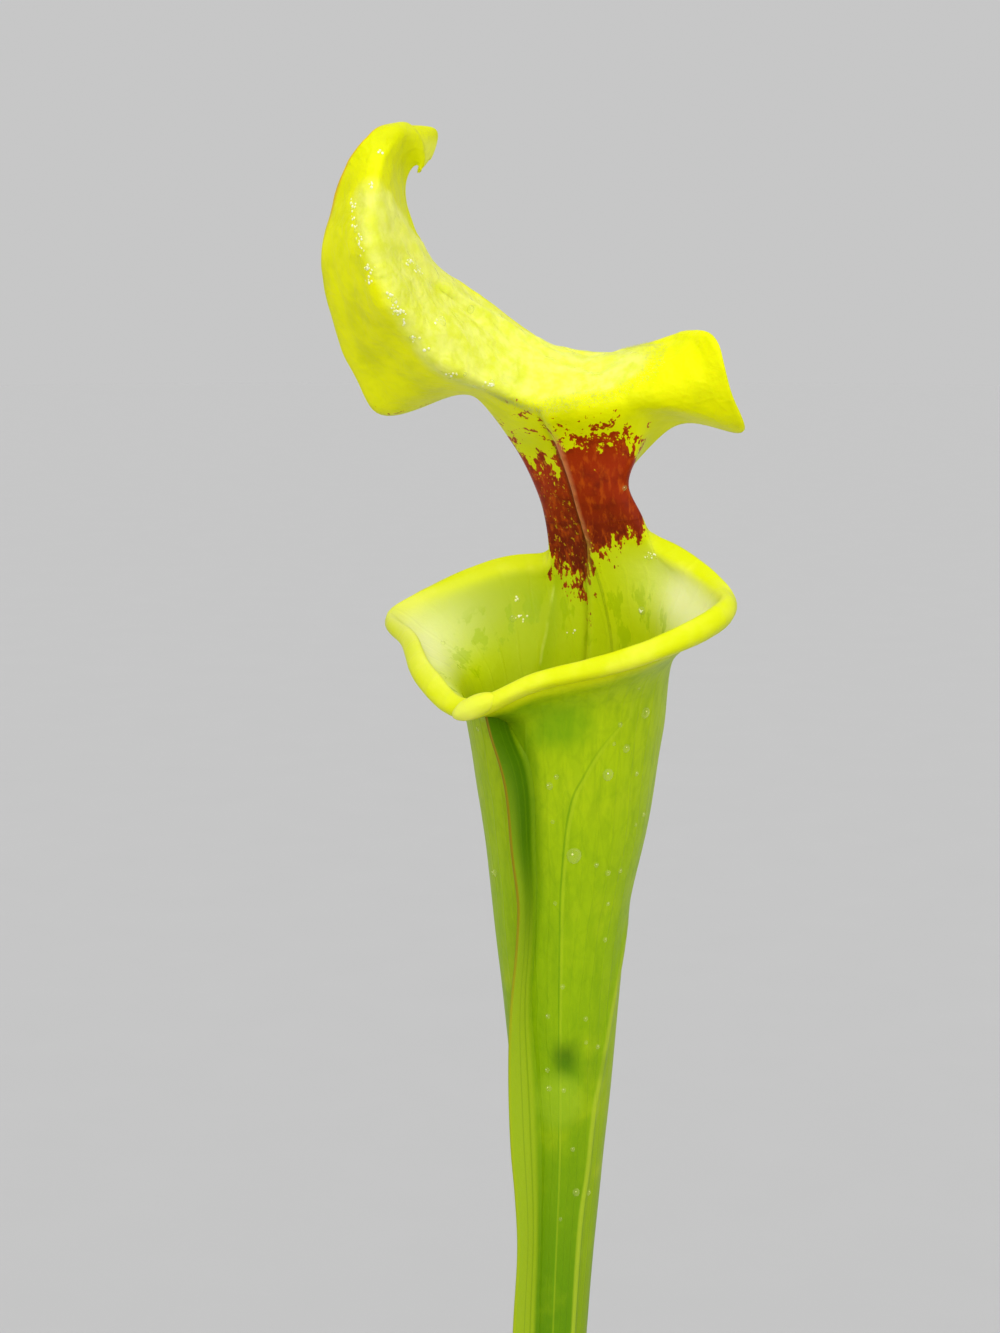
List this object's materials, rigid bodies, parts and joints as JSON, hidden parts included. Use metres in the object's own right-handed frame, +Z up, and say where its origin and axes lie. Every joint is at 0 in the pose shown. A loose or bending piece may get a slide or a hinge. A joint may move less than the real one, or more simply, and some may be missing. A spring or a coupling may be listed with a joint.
{
  "type": "potted trumpet pitcher plant",
  "caption": "Tall slender yellow trumpet pitcher with a flared rolled mouth, a red-throated column and a hooked lid, rising from soil in a plain round pot.",
  "frame": {"origin": "under the middle of the pot, on the surface that it stands on", "axes": "+Z up along the plant; the pitcher's mouth opens towards -Y, turned 35 degrees towards -X"},
  "size_m": [0.13, 0.13, 0.554],
  "materials": {
    "pot": "satin moulded plastic, dark",
    "soil": "damp peat with moss and grit",
    "rhizome": "fibrous, with dry leaf bases",
    "pitcher": "waxy leaf, yellow-green, with a red patch on the column"
  },
  "bodies": {
    "root": {"pot": "pot", "soil": "soil", "rhizome": "rhizome", "pitcher": "pitcher"}
  },
  "joints": []
}
